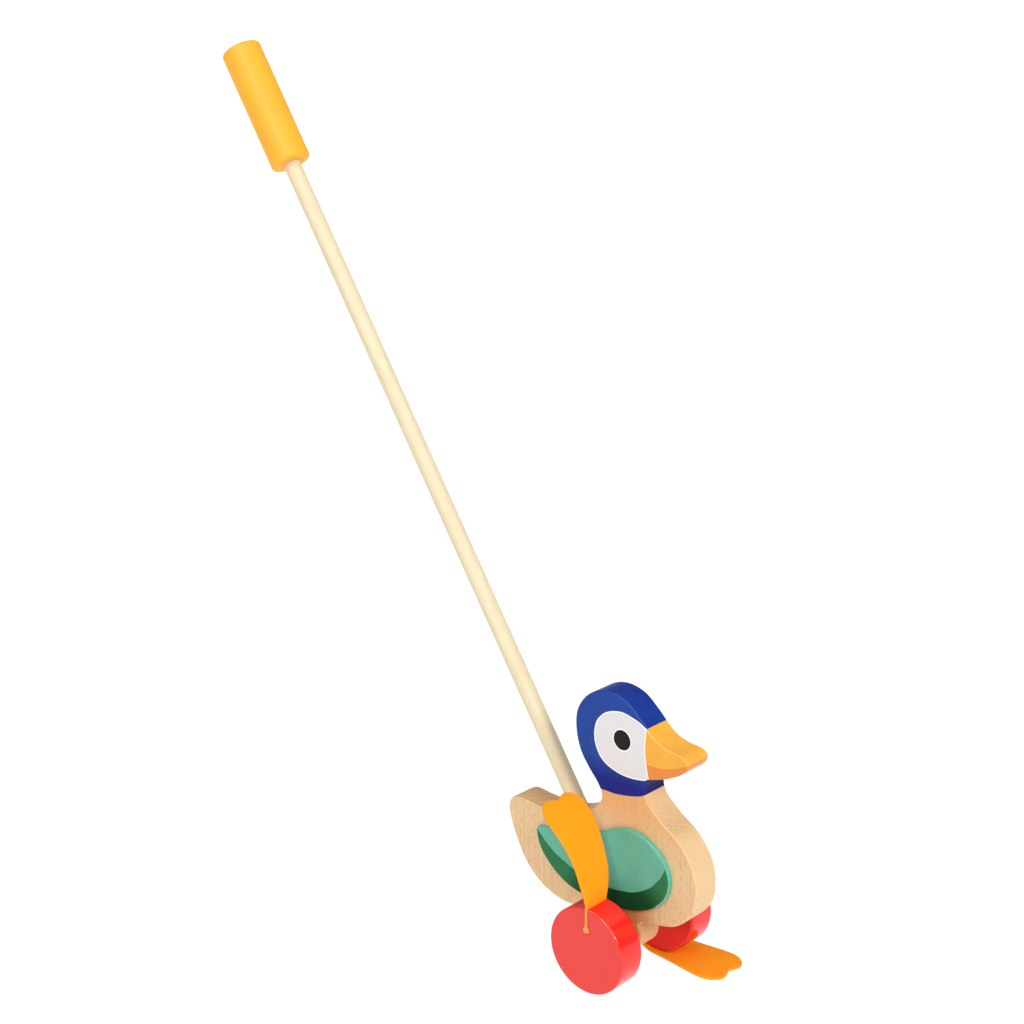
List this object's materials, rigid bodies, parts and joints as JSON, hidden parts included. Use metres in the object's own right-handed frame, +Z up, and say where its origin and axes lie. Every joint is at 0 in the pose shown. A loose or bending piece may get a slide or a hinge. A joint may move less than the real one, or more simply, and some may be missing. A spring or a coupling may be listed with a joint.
{
  "type": "push-along toy",
  "caption": "Wooden duck on two wheels with flapping rubber feet, pushed along by a long rod with a turned handle.",
  "frame": {"origin": "on the floor, halfway along and halfway across the toy's footprint", "axes": "+X is the way the duck faces and rolls, +Z is up, the duck's right side is towards -Y"},
  "size_m": [0.4286, 0.1142, 0.5868],
  "materials": {
    "beech": "clear-lacquered beech board, painted on the head and beak",
    "dowel_wood": "bare pale dowel, sanded",
    "wing_paint": "satin green paint on wood, with a dark green crescent",
    "wheel_paint": "glossy red paint on wood",
    "handle_paint": "glossy yellow-orange paint on wood",
    "foot_rubber": "smooth orange rubber sheet"
  },
  "bodies": {
    "duck": {"duck_body": "beech", "wing_right": "wing_paint", "wing_left": "wing_paint", "push_rod": "dowel_wood", "handle": "handle_paint"},
    "wheels": {"axle": "dowel_wood", "spacer_right": "beech", "spacer_left": "beech", "wheel_right": "wheel_paint", "wheel_left": "wheel_paint", "foot_right_bead": "foot_rubber", "foot_left_bead": "foot_rubber"},
    "right_foot": {"foot_right": "foot_rubber"},
    "left_foot": {"foot_left": "foot_rubber"}
  },
  "joints": [
    {"name": "wheels_roll", "type": "hinge", "parent": "duck", "child": "wheels", "pos_m": [0.15482, 0, 0.0323], "axis": [0, 1, 0], "continuous": true},
    {"name": "right_foot_flex", "type": "hinge", "parent": "wheels", "child": "right_foot", "pos_m": [0.15482, -0.0381, 0.0636], "axis": [0, 1, 0], "range_deg": [-60, 80], "stiffness_Nm_per_rad": 0.02},
    {"name": "left_foot_flex", "type": "hinge", "parent": "wheels", "child": "left_foot", "pos_m": [0.13512, 0.0381, 0.00797], "axis": [0, 1, 0], "range_deg": [0, 120], "stiffness_Nm_per_rad": 0.02}
  ]
}
